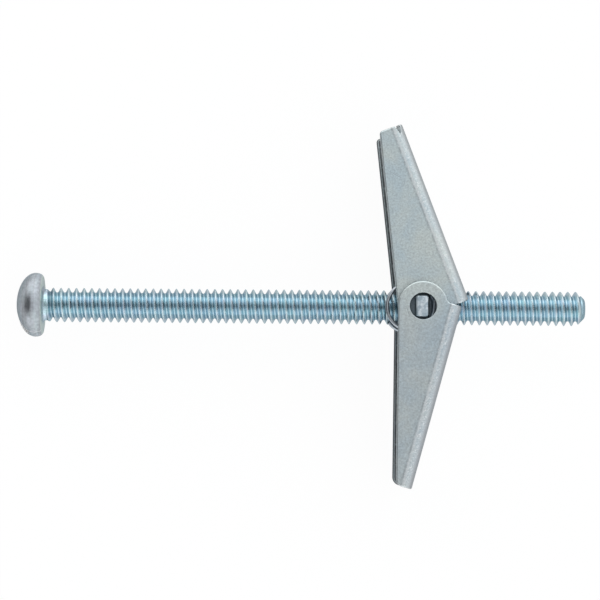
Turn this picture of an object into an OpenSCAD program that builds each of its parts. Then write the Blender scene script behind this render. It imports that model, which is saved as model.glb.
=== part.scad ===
// Spring toggle bolt for hollow walls.
// A round head machine screw carries a trunnion nut, and two folded sheet wings hinge on the nut's lugs.
// A double torsion spring inside the wings pushes them open.
// The origin is the centre of the head's bearing face, on the screw's axis. +X runs along the screw to
// its tip, the wings spread along Y, and the hinge pins run along Z. Lengths are in millimetres.

/* [Screw] */
// Outside diameter of the thread
thread_d = 4.76; // [4:0.01:6]
// Distance from one thread crest to the next
thread_pitch = 1.0583; // [0.8:0.0001:1.3]
// Length from the head's bearing face to the tip
screw_l = 74.57; // [72:0.01:120]
// Plain neck between the head and the first groove
neck_l = 0.82; // [0.5:0.01:3]
// Diameter of the plain neck
neck_d = 4.3; // [3.8:0.05:4.7]
// How far the flare under the head reaches past the thread's crests
flare_over = 0.08; // [0.05:0.01:0.2]
// Length of the chamfer at the tip
tip_chamfer = 1.1; // [0.3:0.05:1.3]

/* [Head] */
// Widest diameter of the round head
head_d = 8.78; // [7.5:0.02:10]
// Height of the head above its bearing face
head_h = 3.64; // [3.3:0.01:4.5]
// Height of the widest ring above the bearing face
head_rim_h = 1.03; // [0.5:0.01:1.6]
// How far the bearing face's edge lies inside the widest ring
head_rim_in = 0.6; // [0.3:0.05:1.4]
// Width of the straight driver slot
slot_w = 1.3; // [0.9:0.05:1.6]
// Depth of the straight driver slot below the top of the head
slot_depth = 1.85; // [1:0.05:2.2]
// How far the slot is turned about the screw, from square to the hinge axis
slot_turn = 20; // [0:1:60]

/* [Nut] */
// Distance from the head's bearing face to the hinge axis
pivot_x = 51.97; // [36:0.01:68]
// Length of the nut along the screw
nut_l = 5.2; // [4.2:0.1:6]
// Height of the nut across the screw, between the wings
nut_h = 6.6; // [6.2:0.1:7]
// Wall of the nut beside the thread, under each lug
nut_wall = 0.42; // [0.3:0.01:0.8]
// Corner radius of the nut's outline
nut_corner_r = 0.5; // [0.2:0.05:0.8]
// Size of a lug along the screw
lug_l = 1.7; // [1.4:0.05:2.1]
// Size of a lug across the screw
lug_h = 2.9; // [2.4:0.05:3.3]
// How far a lug's end stays below the outer ear's face
lug_recess = 0.3; // [0.1:0.05:0.6]
// Radial clearance between the screw and the nut
thread_clear = 0.05; // [0.02:0.01:0.09]
// Radial clearance between a lug's corners and its hole
lug_clear = 0.15; // [0.04:0.01:0.2]

/* [Wings] */
// Thickness of the sheet
sheet = 0.78; // [0.6:0.01:0.95]
// Radius of the round ear at the hinge
ear_r = 3.4; // [3:0.02:3.8]
// Distance from the hinge axis to the outer face of the upper wing's web
upper_reach = 6.24; // [5.8:0.02:7]
// Distance from the hinge axis to the outer face of the lower wing's web
lower_reach = 5.16; // [5.1:0.02:7]
// Angle between the web and the bearing edge
taper = 14.8; // [11:0.05:16]
// Length from the hinge axis to the tip, along the web
wing_l = 24.37; // [21:0.01:27]
// Length of the web past the hinge axis
web_tail = 1.39; // [0.9:0.01:1.5]
// Outer radius of the two folds
fold_r = 1.3; // [1:0.05:1.6]
// Radius between an ear and the web's end
ear_fillet = 0.8; // [0.5:0.05:1.1]
// Corner radius at the tip of the upper wing's flanges
upper_tip_r = 0.5; // [0.3:0.05:1.4]
// Corner radius at the tip of the lower wing's flanges
lower_tip_r = 1.15; // [0.3:0.05:1.4]
// Depth of the relief nick at the tip of the inner fold
nick_depth = 1.2; // [0.6:0.05:1.6]
// Width of the relief nick
nick_w = 0.45; // [0.3:0.05:0.6]
// Distance from the web's outer face to the middle of the relief nick
nick_in = 0.55; // [0.4:0.05:1]
// Clearance between an outer and an inner ear
ear_gap = 0.06; // [0.04:0.01:0.12]
// Clearance round the screw in the web's notch
notch_clear = 0.5; // [0.3:0.05:0.8]
// Lean of the upper wing towards the head
upper_lean = 6.25; // [0:0.1:12]
// Lean of the lower wing towards the head
lower_lean = 0.4; // [0:0.1:12]

/* [Spring] */
// Diameter of the spring wire
wire_d = 0.52; // [0.4:0.02:0.6]
// How far the coils hang off the hinge axis, towards the head
coil_off = 1.55; // [1:0.05:1.6]
// Clearance between a coil and the lug inside it
coil_clear = 0.22; // [0.1:0.01:0.4]
// Side clearance of a coil on the nut and on the inner ear, and between the coil's two ends
coil_side = 0.03; // [0.02:0.005:0.1]
// Angle of a leg to the wing's bearing edge
leg_angle = 9; // [5:0.5:13]
// Length of the leg's end that lies along the web
leg_run = 3.5; // [2:0.1:6]
// Gap between a leg and the web
leg_gap = 0.03; // [0.02:0.01:0.1]

/* [Hidden] */
$fn = 96;
over = 1; // overshoot of a cutting shape past the face that it cuts
curve_steps = 10; // straight steps in a quarter of the head's curved outline
arc_steps = 24; // straight steps in an arc of a flange's outline

// Screw
thread_r = thread_d / 2;
thread_h = 0.6134 * thread_pitch; // depth of the standard sixty degree thread
root_r = thread_r - thread_h;
crest_w = thread_pitch / 8;
root_w = thread_pitch / 4;
thread_end = screw_l - tip_chamfer;
crest_count = floor((thread_end - neck_l - thread_pitch / 2) / thread_pitch);
head_r = head_d / 2;
neck_r = neck_d / 2;
neck_flare = max(flare_over, thread_r + flare_over - neck_r);
dome_h = head_h - head_rim_h;

// Stack along the hinge axis, from the middle outwards
nut_half = thread_r + thread_clear + nut_wall;
coil_low_z = nut_half + coil_side + wire_d / 2;
coil_high_z = coil_low_z + wire_d + coil_side;
inner_in = coil_high_z + wire_d / 2 + coil_side;
inner_out = inner_in + sheet;
outer_in = inner_out + ear_gap;
outer_out = outer_in + sheet;
lug_end = outer_out - lug_recess;

// Wing
hole_r = norm([lug_l, lug_h]) / 2 + lug_clear;
notch_r = thread_r + notch_clear;
fillet_p = sqrt(pow(ear_r + ear_fillet, 2) - pow(web_tail + ear_fillet, 2));
wing_box = wing_l + ear_r + max(upper_reach, lower_reach); // longer than any wing is from its hinge axis

// Spring
coil_r = norm([lug_l / 2 + coil_off, lug_h / 2]) + coil_clear + wire_d / 2;
low_leg_p = lower_reach - sheet - leg_gap - wire_d / 2;
high_leg_p = upper_reach - max(fold_r, sheet + leg_gap + wire_d / 2); // clear of the fold's inner curve
coil_steps = 24; // straight steps in one turn of a coil
bend_steps = 4; // straight steps in one bend of the wire
bend_l = 1.6 * wire_d; // how far from its corner a bend begins
wire_sides = 8; // flat sides round the wire

// A point at distance p from the hinge axis towards the web, and s along the web towards the tip
function at_web(p, s) = [p * cos(taper) - s * sin(taper), p * sin(taper) + s * cos(taper)];
// Where the bearing edge, moved in by d, is s along the web
function at_bearing(s, d) = [d - ear_r, (s + (d - ear_r) * sin(taper)) / cos(taper)];
// A quarter of an ellipse from (x0, y0 + b) to (x0 + a, y0), as points
function quarter(x0, y0, a, b) =
    [for (i = [0:curve_steps]) [x0 + a * sin(90 * i / curve_steps), y0 + b * cos(90 * i / curve_steps)]];
// One ridge of the thread, as points of its outline
function ridge(x) = [
    [x - thread_pitch / 2 + root_w / 2, root_r],
    [x - crest_w / 2, thread_r],
    [x + crest_w / 2, thread_r],
    [x + thread_pitch / 2 - root_w / 2, root_r]
];

// Turns an outline given as [x along the screw, radius] round the X axis
module turned(points) {
    rotate([0, 90, 0])
        rotate_extrude()
            polygon([for (q = points) [q[1], q[0]]]);
}

// The head's outline, from the middle of its top to the flare on its bearing face
function head_outline() =
    let (dome = quarter(head_rim_h, 0, dome_h, head_r))
    concat(
        [for (i = [curve_steps:-1:1]) [-dome[i][0], dome[i][1]]],
        quarter(-head_rim_h, head_r - head_rim_in, head_rim_h, head_rim_in),
        [[0, neck_r + neck_flare]]
    );

module driver_slot() {
    rotate([-slot_turn, 0, 0])
        translate([-head_h - over, -head_r - over, -slot_w / 2])
            cube([slot_depth + over, head_d + 2 * over, slot_w]);
}

// The shank's outline, from the foot of the flare to the middle of its tip
function shank_outline() =
    let (first = neck_l + thread_pitch / 2)
    concat(
        [[neck_flare, neck_r], [neck_l - (neck_r - root_r) / 2, neck_r]],
        [for (i = [0:crest_count - 1]) each ridge(first + i * thread_pitch)],
        [
            [thread_end - thread_pitch / 4, thread_r],
            [thread_end, thread_r],
            [screw_l, thread_r - tip_chamfer],
            [screw_l, 0]
        ]
    );

module machine_screw() {
    color("lightsteelblue")
        difference() {
            turned(concat(head_outline(), shank_outline()));
            driver_slot();
        }
}

module rounded_rect(l, h, r) {
    square([l - 2 * r, h], center = true);
    square([l, h - 2 * r], center = true);
    for (x = [-1, 1], y = [-1, 1])
        translate([x * (l / 2 - r), y * (h / 2 - r)])
            circle(r);
}

module trunnion_nut() {
    color("lightslategray")
        translate([pivot_x, 0, 0])
            difference() {
                union() {
                    linear_extrude(2 * nut_half, center = true)
                        rounded_rect(nut_l, nut_h, nut_corner_r);
                    linear_extrude(2 * lug_end, center = true)
                        square([lug_l, lug_h], center = true);
                }
                rotate([0, 90, 0])
                    cylinder(r = thread_r + thread_clear, h = nut_l + 2 * over, center = true);
            }
}

// Points of an arc round c, from angle a to angle b
function arc(c, r, a, b) =
    [for (i = [0:arc_steps]) c + r * [cos(a + (b - a) * i / arc_steps), sin(a + (b - a) * i / arc_steps)]];

// Outline of a flange seen along the hinge axis, with its bearing edge along -X. It runs past the web.
module flange_outline(reach, tip_r) {
    fillet = at_web(fillet_p, -web_tail - ear_fillet);
    fillet_angle = atan2(fillet[1], fillet[0]);
    tip = at_bearing(wing_l - tip_r, tip_r);
    polygon(concat(
        arc([0, 0], ear_r, 180, 360 + fillet_angle),
        arc(fillet, ear_fillet, 180 + fillet_angle, 90 + taper),
        [at_web(reach + over, -web_tail), at_web(reach + over, wing_l)],
        arc(tip, tip_r, 90 + taper, 180)
    ));
}

// Section of the folded sheet, with p across the page and the hinge axis up it
module fold_section(reach) {
    difference() {
        fold_shape(reach, -outer_out, inner_out, fold_r);
        fold_shape(reach - sheet, -outer_in, inner_in, fold_r - sheet);
    }
}

// A strip from far behind the bearing edge up to p, with its two front corners rounded
module fold_shape(p, low, high, r) {
    translate([-wing_box, low])
        square([wing_box + p - r, high - low]);
    translate([p - r, low + r])
        square([r, high - low - 2 * r]);
    for (z = [low + r, high - r])
        translate([p - r, z])
            circle(r);
}

// One wing: a folded channel, open towards the head, with its hinge axis on Z
// Its outer flange is below and its inner flange above.
module wing(reach, tip_r) {
    difference() {
        intersection() {
            rotate([0, 0, taper])
                rotate([90, 0, 0])
                    linear_extrude(2 * wing_box, center = true)
                        fold_section(reach);
            translate([0, 0, -outer_out - over])
                linear_extrude(outer_out + inner_out + 2 * over)
                    flange_outline(reach, tip_r);
        }
        cylinder(r = hole_r, h = 2 * outer_out + 2 * over, center = true);
        rotate([0, 90, 0])
            cylinder(r = notch_r, h = wing_box);
        translate([0, 0, inner_in - sheet])
            linear_extrude(2 * sheet + over)
                polygon([
                    at_web(reach - nick_in, wing_l - nick_depth),
                    at_web(reach - nick_in - nick_w / 2, wing_l),
                    at_web(reach - nick_in - nick_w / 2, wing_l + over),
                    at_web(reach - nick_in + nick_w / 2, wing_l + over),
                    at_web(reach - nick_in + nick_w / 2, wing_l)
                ]);
    }
}

module upper_wing() {
    color("silver")
        translate([pivot_x, 0, 0])
            rotate([0, 0, upper_lean])
                wing(upper_reach, upper_tip_r);
}

module lower_wing() {
    color("silver")
        translate([pivot_x, 0, 0])
            rotate([180, 0, 0])
                rotate([0, 0, lower_lean])
                    wing(lower_reach, lower_tip_r);
}

// Half of the spring's centre line, on the side towards +Z, from the free end on the lower wing, round the
// coil, to the end that lies on the upper wing.
function half_line() =
    let (
        low = [for (q = leg_points(lower_lean, low_leg_p)) [q[0], -q[1], coil_low_z]],
        high = [for (q = leg_points(upper_lean, high_leg_p)) [q[0], q[1], coil_high_z]],
        from = leg_angle - lower_lean,
        sweep = 360 - from - leg_angle + upper_lean
    ) concat(
        [low[2]],
        bent(low[2], low[1], low[0]),
        [for (i = [0:coil_steps])
            [
                coil_r * cos(from + sweep * i / coil_steps) - coil_off,
                coil_r * sin(from + sweep * i / coil_steps),
                coil_low_z + (coil_high_z - coil_low_z) * i / coil_steps
            ]
        ],
        bent(high[0], high[1], high[2])
    );

// The whole centre line: the half above, the bight across the upper wing, and the mirrored half below
function centre_line() =
    let (
        half = half_line(),
        end = leg_points(upper_lean, high_leg_p)[2],
        other = [for (i = [len(half) - 1:-1:0]) [half[i][0], half[i][1], -half[i][2]]]
    ) concat(
        half,
        bent(half[len(half) - 1], [end[0], end[1], coil_high_z], [end[0], end[1], 0]),
        bent([end[0], end[1], 0], [end[0], end[1], -coil_high_z], other[0]),
        other
    );

// Where a leg leaves the coil, meets the web and ends, for a wing that leans by this angle and a leg that
// lies at distance p from the hinge axis
function leg_points(lean, p) =
    let (
        start = [
            coil_r * cos(leg_angle) - coil_off * cos(lean),
            coil_off * sin(lean) - coil_r * sin(leg_angle)
        ],
        leg_l = (p - start * at_web(1, 0)) / sin(leg_angle + taper),
        knee = start + leg_l * [sin(leg_angle), cos(leg_angle)]
    ) [for (q = [start, knee, knee + leg_run * at_web(0, 1)])
        [q[0] * cos(lean) - q[1] * sin(lean), q[0] * sin(lean) + q[1] * cos(lean)]
    ];

function unit(v) = v / norm(v);
function across(u, t) = unit(u - (u * t) * t);
function direction(line, i) = unit(line[min(i + 1, len(line) - 1)] - line[max(i - 1, 0)]);

// A rounded corner at b, between the straights from a and to c
function bent(a, b, c) =
    let (p = b + bend_l * unit(a - b), q = b + bend_l * unit(c - b))
    [for (i = [0:bend_steps])
        let (t = i / bend_steps) (1 - t) * (1 - t) * p + 2 * t * (1 - t) * b + t * t * q
    ];

// Side vectors carried along the line without twisting
function sides(line) = [
    for (
        i = 0, u = across([0, 0, 1], direction(line, 0));
        i < len(line);
        i = i + 1, u = across(u, direction(line, min(i, len(line) - 1)))
    ) u
];

// A round wire along a line of points, with flat ends
module wire(line) {
    up = sides(line);
    last = len(line) - 1;
    polyhedron(
        points = [
            for (i = [0:last], j = [0:wire_sides - 1])
                let (a = 360 * j / wire_sides)
                line[i] + wire_d / 2 * (cos(a) * up[i] + sin(a) * cross(direction(line, i), up[i]))
        ],
        faces = concat(
            [[for (j = [0:wire_sides - 1]) j]],
            [[for (j = [wire_sides - 1:-1:0]) last * wire_sides + j]],
            [
                for (i = [0:last - 1], j = [0:wire_sides - 1], half = [0, 1])
                    let (
                        a = i * wire_sides + j,
                        b = i * wire_sides + (j + 1) % wire_sides
                    ) half == 0 ? [a, a + wire_sides, b + wire_sides] : [a, b + wire_sides, b]
            ]
        )
    );
}

module torsion_spring() {
    color("gray")
        translate([pivot_x, 0, 0])
            wire(centre_line());
}

machine_screw();
trunnion_nut();
upper_wing();
lower_wing();
torsion_spring();
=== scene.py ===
"""Spring toggle bolt: a machine screw, a trunnion nut, two folded sheet wings and the spring between them."""
import math

import bmesh
import bpy
import numpy as np
from mathutils import Matrix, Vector
from mathutils.geometry import delaunay_2d_cdt


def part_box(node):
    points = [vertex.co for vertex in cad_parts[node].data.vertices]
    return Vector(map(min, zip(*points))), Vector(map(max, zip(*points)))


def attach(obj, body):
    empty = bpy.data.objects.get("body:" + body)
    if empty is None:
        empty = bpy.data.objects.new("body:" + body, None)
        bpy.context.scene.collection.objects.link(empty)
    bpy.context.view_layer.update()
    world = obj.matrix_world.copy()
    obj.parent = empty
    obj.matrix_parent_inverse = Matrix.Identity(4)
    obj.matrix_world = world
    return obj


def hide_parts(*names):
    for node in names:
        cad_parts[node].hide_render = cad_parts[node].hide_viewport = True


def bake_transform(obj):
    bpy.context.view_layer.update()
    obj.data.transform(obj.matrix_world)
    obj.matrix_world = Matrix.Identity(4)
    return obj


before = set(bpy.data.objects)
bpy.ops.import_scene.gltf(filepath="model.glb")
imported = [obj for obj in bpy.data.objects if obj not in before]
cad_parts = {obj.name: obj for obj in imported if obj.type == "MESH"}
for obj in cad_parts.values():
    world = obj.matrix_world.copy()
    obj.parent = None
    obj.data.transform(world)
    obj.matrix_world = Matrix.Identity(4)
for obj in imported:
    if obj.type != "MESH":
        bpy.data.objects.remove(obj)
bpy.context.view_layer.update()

# ---------------------------------------------------------------- sizes, in millimetres
MM = 0.001  # metres in a millimetre
nut_low, nut_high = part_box("trunnion_nut")
PIVOT = (nut_low.x + nut_high.x) / 2 / MM  # hinge axis, from the head's bearing face

THREAD_R = 2.38  # crest radius
PITCH = 1.0583
THREAD_H = 0.6134 * PITCH  # depth of the thread
ROOT_R = THREAD_R - THREAD_H
FIRST_CREST = 1.349  # x of the crest nearest to the head, on the upper wing's side
SCREW_L = 74.57
TIP_CHAMFER = 1.1
TIP_EDGE_R, TIP_EDGE_L, TIP_EDGE_IN = 0.478, 0.14, 0.34  # round edge of the tip: radius, length, way inwards
NECK_R = 2.15
NECK_FLARE = 0.31
THREAD_START, THREAD_FADE = 0.45, 0.7  # where the thread rises out of the neck, and over what length
FLANK_FOOT, FLANK_W = 0.375, 0.3125  # a flank's foot, from the crest's middle, and its width, in pitches
TURN = 80  # steps round the screw

HEAD_R = 4.39
HEAD_H = 3.64
RIM_H = 1.03  # height of the widest ring above the bearing face
RIM_IN = 0.6  # how far the bearing face's edge lies inside the widest ring
BEARING_RINGS = (3.4, 2.8)  # radii of two more rings of points on the bearing face
SLOT_W, SLOT_DEPTH = 1.3, 1.85
SLOT_TURN = math.radians(20)  # about the screw, from square to the hinge axis

NUT_L, NUT_H, NUT_HALF, NUT_CORNER = 5.2, 6.6, 2.85, 0.5
LUG_L, LUG_H, LUG_END, LUG_CORNER = 1.7, 2.9, 5.3, 0.32
LUG_EDGE, LUG_FOOT, BLOCK_EDGE = 0.24, 0.2, 0.3  # radii: the lug's end, the foot of the lug, the block's end
LUG_LEAN = 0.12  # how far the nut's play lets a lug's end lean in its hole
BORE_R = 2.43
BORE_SINK = 0.18  # depth of the bore's countersinks
SLIVER = 0.02  # least half width of a ring, and least radius of a corner

SHEET = 0.78
FOLD_R = 1.3  # outer radius of a fold
EAR_R = 3.4
EAR_FILLET = 0.8
TAPER = math.radians(14.8)  # between the web and the bearing edge
WING_L = 24.37  # from the hinge axis to the tip, along the web
WEB_TAIL = 1.39  # length of the web past the hinge axis
OUTER_OUT, INNER_OUT = 5.6, 4.76  # outer faces of the two flanges, from the middle
HOLE_R = 1.831
NOTCH_R = 2.88
NICK_DEPTH, NICK_W, NICK_TURN = 1.2, 0.66, math.radians(60)
NOTCH_SOFT = 0.4  # length of the sides of a rounded corner of the notch
CUT_EDGES = ((0.22, 0.16), (0.07, 0.07), (0.07, 0.07))  # radii outside and inside: the outline, the two holes
INNER_RINGS = (0.09, 0.14)  # two more rings of points on the inner face, so far in from its rounded edge
RIM_PAINTED_SHADE = (0, 0, 0, 0, 0, 0, 0.3, 0.85, 0.9, 0.9, 0.8, 0, 0, 1)  # painted shade on each ring, outside first
INNER_FACE_SHADE = 0.4  # painted shade on the inner face beyond the rings
UNSHADED_TIP = 2  # length at the tip in which the inside of the web and the folds gets no painted shade
FLANGE_BEND = 1.5  # a bend from which a point counts as on a flange, in radians
NICK_NEAR, NICK_LEAST = 0.9, 0.3  # how near to the nick the rounded edge narrows, and its least share
LINE_STEP = 0.24  # between the points of an outline
FILL_STEP, FILL_START, FILL_CLEAR = 0.7, 0.6, 0.16  # between the points inside, from a fold and from a line
SMALL_AREA = 1e-5  # triangles below half of this lie along an edge and are left out
UPPER = {"reach": 6.24, "tip_r": 0.5, "lean": math.radians(6.25)}
LOWER = {"reach": 5.16, "tip_r": 1.15, "lean": math.radians(0.4)}

WIRE_R = 0.26
WIRE_SIDES = 20
COIL_OFF = 1.6  # how far the coils hang off the hinge axis, towards the head
COIL_R = 3.2
COIL_LOW, COIL_HIGH = 3.14, 3.69  # heights of a coil's two ends
COIL_STEPS = 72
LEG_ANGLE = math.radians(9)
LEG_RUN = 3.5
LOW_LEG, HIGH_LEG = 4.09, 4.94  # distances of the legs' ends from the hinge axis


# ---------------------------------------------------------------- camera
LENS, SENSOR = 143.84, 36
CAMERA_AT = (0.030913, -0.016513, 0.33)
CAMERA_TURNS = ((0.4316, "Z"), (-0.7872, "Y"), (3.0223, "X"))  # in degrees
CAMERA_REACH = (0.01, 50)  # nearest and furthest point seen


def make_camera():
    """A long lens straight above the bolt, which lies on its side: small turns about X, Y and then Z."""
    camera = bpy.data.objects.new("camera", bpy.data.cameras.new("camera"))
    camera.data.lens = LENS
    camera.data.sensor_width = SENSOR
    camera.data.clip_start, camera.data.clip_end = CAMERA_REACH
    turns = [Matrix.Rotation(math.radians(degrees), 4, axis) for degrees, axis in CAMERA_TURNS]
    camera.matrix_world = Matrix.Translation(CAMERA_AT) @ turns[0] @ turns[1] @ turns[2]
    bpy.context.scene.collection.objects.link(camera)
    bpy.context.scene.camera = camera


# ---------------------------------------------------------------- mesh helpers
def new_piece(name, points, faces):
    """An object at the origin from points in millimetres and faces as lists of point numbers."""
    mesh = bpy.data.meshes.new(name)
    mesh.from_pydata((np.asarray(points) * MM).tolist(), [], [f.tolist() for f in faces])
    piece = bpy.data.objects.new(name, mesh)
    bpy.context.scene.collection.objects.link(piece)
    return piece


def grid_faces(rows, columns, start=0):
    """Quads between neighbours of a grid of points numbered row by row. The last column meets the first."""
    i = start + np.arange(rows - 1)[:, None] * columns
    j = np.arange(columns)[None, :]
    k = (j + 1) % columns
    return np.stack([i + j, i + k, i + columns + k, i + columns + j], -1).reshape(-1, 4)


def join_up(piece, *others, tolerance=1e-7):
    """Welds the points of a piece, and of others that it takes in, and turns every face outwards."""
    bm = bmesh.new()
    for each in (piece, *others):
        bm.from_mesh(each.data)
    bmesh.ops.remove_doubles(bm, verts=bm.verts, dist=tolerance)
    bmesh.ops.recalc_face_normals(bm, faces=bm.faces)
    bm.to_mesh(piece.data)
    bm.free()
    for each in others:
        bpy.data.objects.remove(each)


def set_values(piece, name, values):
    """One number for each point of a piece, for the material to read."""
    made = piece.data.attributes.new(name, "FLOAT", "POINT")
    made.data.foreach_set("value", values.astype(np.float32))


def cut(piece, cutter):
    """Takes the cutter's solid out of the piece's solid."""
    change = piece.modifiers.new("cut", "BOOLEAN")
    change.operation, change.solver, change.object = "DIFFERENCE", "EXACT", cutter
    view = bpy.context.evaluated_depsgraph_get()
    result = bpy.data.meshes.new_from_object(piece.evaluated_get(view))
    piece.modifiers.remove(change)
    piece.data = result
    bpy.data.objects.remove(cutter)


def smooth(piece, sharp_degrees=180):
    """Smooth shading, with edges past the given angle kept crisp."""
    piece.data.shade_smooth()
    if sharp_degrees < 180:
        piece.data.set_sharp_from_angle(angle=math.radians(sharp_degrees))


def arc(centre, radius, start, end, steps):
    """Points of an arc about a centre, from one angle to another in radians."""
    a = np.linspace(start, end, steps + 1)
    return np.asarray(centre) + radius * np.stack([np.cos(a), np.sin(a)], -1)


# ---------------------------------------------------------------- screw
def revolve(name, outline):
    """The outline's points (x, radius) turned about the X axis: y = radius cos a, z = radius sin a."""
    x, r = np.asarray(outline, float).T[:, :, None]
    angle = 2 * np.pi * np.arange(TURN) / TURN
    points = np.stack([x + 0 * angle, r * np.cos(angle), r * np.sin(angle)], -1).reshape(-1, 3)
    piece = new_piece(name, points, grid_faces(len(outline), TURN))
    join_up(piece)
    return piece


def thread_radius(x, phase):
    """Radius of the thread at x. Phase is the distance from the nearest crest's middle, in pitches.

    A flank rises in a straight line from the root to the crest. The crest and the root are rounded by a
    smooth maximum and minimum. Towards the neck the thread fades into a plain cylinder, and at the tip a
    cone cuts it.
    """
    def rounded(rise, foot=0.1, crest=0.33):
        """Holds a number between 0 and 1: max(v, 0) = (v + root(v^2 + foot^2)) / 2, and likewise at 1."""
        rise = (rise + np.sqrt(rise**2 + foot**2)) / 2
        return 1 - (1 - rise + np.sqrt((1 - rise) ** 2 + crest**2)) / 2

    rise = (FLANK_FOOT - np.abs((phase + 0.5) % 1 - 0.5)) / FLANK_W  # 0 at the foot of a flank, 1 at its top
    full = ROOT_R + THREAD_H * rounded(rise) / rounded(FLANK_FOOT / FLANK_W)
    fade = np.clip((x - THREAD_START) / THREAD_FADE, 0, 1)
    radius = NECK_R + (full - NECK_R) * fade * fade * (3 - 2 * fade)
    cone = THREAD_R - (x - (SCREW_L - TIP_CHAMFER))
    return np.minimum(radius, cone)


def helical_thread(start, end):
    """A right-hand thread as a sheared grid of points. x is held between the ends.

    Each row follows one point of the thread's section round the screw: x = first crest + pitch (row + turns).
    It climbs one pitch in a turn, so the last column meets the first column one turn on.
    """
    section = np.array([-0.5, -0.42, -0.35, -0.25, -0.17, -0.11, -0.05,
                        0, 0.05, 0.11, 0.17, 0.25, 0.35, 0.42])
    spare = 3  # turns before the first crest, which the start holds back
    turns = math.ceil((end - FIRST_CREST) / PITCH) + spare + 1
    row = (np.arange(-spare, turns - spare)[:, None] + section).reshape(-1, 1)
    column = np.arange(TURN) / TURN
    x = np.clip(FIRST_CREST + PITCH * (row + column), start, end)
    r = thread_radius(x, (x - FIRST_CREST) / PITCH - column)
    angle = 2 * np.pi * column
    points = np.stack([x, r * np.cos(angle), r * np.sin(angle)], -1).reshape(-1, 3)
    i = np.arange(len(row) - 1 - len(section))[:, None]
    j = np.arange(TURN)[None, :]
    k = (j + 1) % TURN
    up = np.where(j + 1 == TURN, len(section), 0)
    faces = np.stack([i * TURN + j, (i + up) * TURN + k, (i + up + 1) * TURN + k, (i + 1) * TURN + j], -1)
    piece = new_piece("thread", points, faces.reshape(-1, 4))
    join_up(piece)
    return piece


def driver_slot():
    """A box across the head's top, turned about X by t: y' = y cos t + z sin t, z' = z cos t - y sin t."""
    sides = ([0, 1, 3, 2], [4, 6, 7, 5], [0, 4, 5, 1], [2, 3, 7, 6], [0, 2, 6, 4], [1, 5, 7, 3])
    beyond = 1  # how far the box sticks out of the head
    corners = np.array([[x, y, z]
                        for x in (-HEAD_H - beyond, -HEAD_H + SLOT_DEPTH)
                        for y in (-HEAD_R - beyond, HEAD_R + beyond)
                        for z in (-SLOT_W / 2, SLOT_W / 2)])
    c, s = math.cos(SLOT_TURN), math.sin(SLOT_TURN)
    slot = new_piece("slot", corners @ np.array([[1, 0, 0], [0, c, -s], [0, s, c]]), np.array(sides))
    join_up(slot)
    return slot


def screw_head():
    """The head's outline: a quarter ellipse for the dome, a small one for the rim, the flat bearing face and
    a round flare into the neck. The slot is cut, and the faces inside the neck are taken out."""
    q = np.linspace(0, np.pi / 2, 25)
    dome = np.stack([-RIM_H - (HEAD_H - RIM_H) * np.cos(q), HEAD_R * np.sin(q)], -1)
    q = np.linspace(0, np.pi / 2, 9)[1:]
    rim = np.stack([RIM_H * (np.sin(q) - 1), HEAD_R - RIM_IN * (1 - np.cos(q))], -1)
    bearing = [[0, radius] for radius in BEARING_RINGS]
    flare = arc((NECK_FLARE, NECK_R + NECK_FLARE), NECK_FLARE, np.pi, 1.5 * np.pi, 6)
    head = revolve("screw", [*dome, *rim, *bearing, *flare, [NECK_FLARE, 0]])
    cut(head, driver_slot())
    smooth(head, sharp_degrees=32)
    bm = bmesh.new()
    bm.from_mesh(head.data)
    close = 0.01  # a face this close to the neck's plane lies in it
    inner = [f for f in bm.faces if f.calc_center_median().x > (NECK_FLARE - close) * MM]
    bmesh.ops.delete(bm, geom=inner, context="FACES")
    bm.to_mesh(head.data)
    bm.free()
    return head


def machine_screw():
    """The head, the thread, and a rounded edge to the flat tip, welded into one piece."""
    head = screw_head()
    end = SCREW_L - TIP_EDGE_L
    thread = helical_thread(NECK_FLARE, end)
    smooth(thread)
    r = float(thread_radius(end, 0.0))
    q = np.linspace(np.pi / 4, np.pi / 2, 5)[1:]
    rounding = np.stack([end - TIP_EDGE_R * np.cos(np.pi / 4) + TIP_EDGE_R * np.sin(q),
                         r - TIP_EDGE_IN + TIP_EDGE_R * np.cos(q)], -1)
    rounding[:, 0] = np.minimum(rounding[:, 0], SCREW_L)
    tip = revolve("tip", [[end, r], *rounding, [SCREW_L, 0]])
    smooth(tip)
    join_up(head, thread, tip, tolerance=2e-6)
    at = np.array([v.co for v in head.data.vertices]) / MM
    depth = (THREAD_R - np.hypot(at[:, 1], at[:, 2])) / THREAD_H
    set_values(head, "valley", np.where(at[:, 0] > NECK_FLARE, np.clip(depth, 0, 1), 0))
    return head


# ---------------------------------------------------------------- nut
def rounded_rectangle(l, h, r, inset):
    """Points round a rectangle with round corners, made smaller all round by the inset."""
    r = max(r - inset, SLIVER)
    corners = []
    for number, (x, y) in enumerate(((1, 1), (-1, 1), (-1, -1), (1, -1))):
        centre = (x * (l / 2 - inset - r), y * (h / 2 - inset - r))
        corners.append(arc(centre, r, number * np.pi / 2, (number + 1) * np.pi / 2, 8))
    return np.concatenate(corners)


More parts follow.
